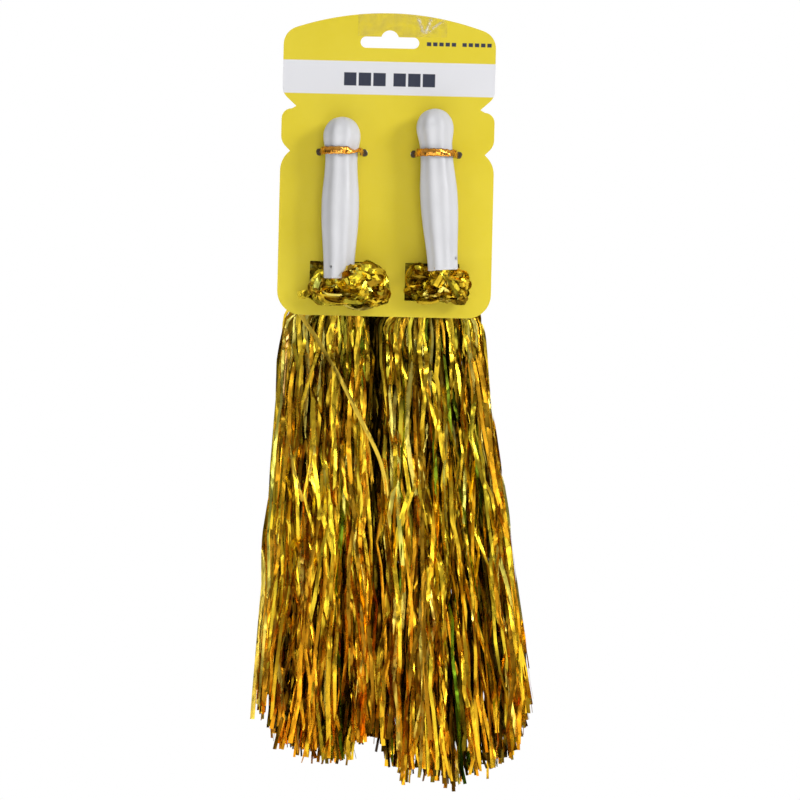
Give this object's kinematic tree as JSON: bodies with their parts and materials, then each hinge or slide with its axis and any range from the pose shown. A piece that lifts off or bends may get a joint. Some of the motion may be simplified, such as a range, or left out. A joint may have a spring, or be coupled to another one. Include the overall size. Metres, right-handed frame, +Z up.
{
  "type": "cheer pom pom",
  "caption": "Pair of foil-strip cheerleading pom poms on fluted club handles, wire-tied to a hanging header card.",
  "frame": {"origin": "on the axis of the hang slot's round hump, halfway through the card's thickness", "axes": "+Z up along the card, +X to the right seen from the printed side, the printed side faces -Y"},
  "size_m": [0.1575, 0.0424, 0.4243],
  "materials": {
    "card": "printed uncoated board",
    "tape": "clear film",
    "tie_foil": "copper-coloured foil",
    "tie_wire": "drawn wire",
    "handle": "satin moulded plastic",
    "pin_steel": "cut end",
    "foil": "gold metallised film"
  },
  "bodies": {
    "card": {"header_card": "card", "hang_tape": "tape", "left_tie_ribbon": "tie_foil", "left_tie_wire": "tie_wire", "right_tie_ribbon": "tie_foil", "right_tie_wire": "tie_wire", "left_foil_bunch": "foil", "right_foil_bunch": "foil"},
    "left_handle": {"left_handle": "handle", "left_retaining_pin": "pin_steel", "left_foil_root": "foil", "left_root_binding": "tie_wire"},
    "left_neck": {"left_neck": "foil"},
    "left_lock_1": {"left_lock_1": "foil"},
    "left_lock_2": {"left_lock_2": "foil"},
    "left_lock_3": {"left_lock_3": "foil"},
    "left_lock_4": {"left_lock_4": "foil"},
    "left_lock_5": {"left_lock_5": "foil"},
    "right_handle": {"right_handle": "handle", "right_retaining_pin": "pin_steel", "right_foil_root": "foil", "right_root_binding": "tie_wire"},
    "right_neck": {"right_neck": "foil"},
    "right_lock_1": {"right_lock_1": "foil"},
    "right_lock_2": {"right_lock_2": "foil"},
    "right_lock_3": {"right_lock_3": "foil"},
    "right_lock_4": {"right_lock_4": "foil"},
    "right_lock_5": {"right_lock_5": "foil"}
  },
  "joints": [
    {"name": "left_handle_spin", "type": "hinge", "parent": "card", "child": "left_handle", "pos_m": [-0.0248, -0.0114, -0.0624], "axis": [0, 0, 1], "range_deg": [-30, 30]},
    {"name": "left_tassel_sway", "type": "hinge", "parent": "card", "child": "left_neck", "pos_m": [-0.026, 0.007, -0.1322], "axis": [0, 1, 0], "range_deg": [0, 35]},
    {"name": "left_lock_1_fold", "type": "hinge", "parent": "left_neck", "child": "left_lock_1", "pos_m": [0, 0.007, -0.1585], "axis": [1, 0, 0], "range_deg": [-75, 75]},
    {"name": "left_lock_2_fold", "type": "hinge", "parent": "left_neck", "child": "left_lock_2", "pos_m": [0, 0.007, -0.1585], "axis": [1, 0, 0], "range_deg": [-75, 75]},
    {"name": "left_lock_3_fold", "type": "hinge", "parent": "left_neck", "child": "left_lock_3", "pos_m": [0, 0.007, -0.1585], "axis": [1, 0, 0], "range_deg": [-75, 75]},
    {"name": "left_lock_4_fold", "type": "hinge", "parent": "left_neck", "child": "left_lock_4", "pos_m": [0, 0.007, -0.1585], "axis": [1, 0, 0], "range_deg": [-75, 75]},
    {"name": "left_lock_5_fold", "type": "hinge", "parent": "left_neck", "child": "left_lock_5", "pos_m": [0, 0.007, -0.1585], "axis": [1, 0, 0], "range_deg": [-75, 75]},
    {"name": "right_handle_spin", "type": "hinge", "parent": "card", "child": "right_handle", "pos_m": [0.0248, -0.0114, -0.0381], "axis": [-0.0793, 0, 0.9968], "range_deg": [-30, 30]},
    {"name": "right_tassel_sway", "type": "hinge", "parent": "card", "child": "right_neck", "pos_m": [0.026, 0.007, -0.1322], "axis": [0, -1, 0], "range_deg": [0, 35]},
    {"name": "right_lock_1_fold", "type": "hinge", "parent": "right_neck", "child": "right_lock_1", "pos_m": [0, 0.007, -0.1585], "axis": [1, 0, 0], "range_deg": [-75, 75]},
    {"name": "right_lock_2_fold", "type": "hinge", "parent": "right_neck", "child": "right_lock_2", "pos_m": [0, 0.007, -0.1585], "axis": [1, 0, 0], "range_deg": [-75, 75]},
    {"name": "right_lock_3_fold", "type": "hinge", "parent": "right_neck", "child": "right_lock_3", "pos_m": [0, 0.007, -0.1585], "axis": [1, 0, 0], "range_deg": [-75, 75]},
    {"name": "right_lock_4_fold", "type": "hinge", "parent": "right_neck", "child": "right_lock_4", "pos_m": [0, 0.007, -0.1585], "axis": [1, 0, 0], "range_deg": [-75, 75]},
    {"name": "right_lock_5_fold", "type": "hinge", "parent": "right_neck", "child": "right_lock_5", "pos_m": [0, 0.007, -0.1585], "axis": [1, 0, 0], "range_deg": [-75, 75]}
  ]
}
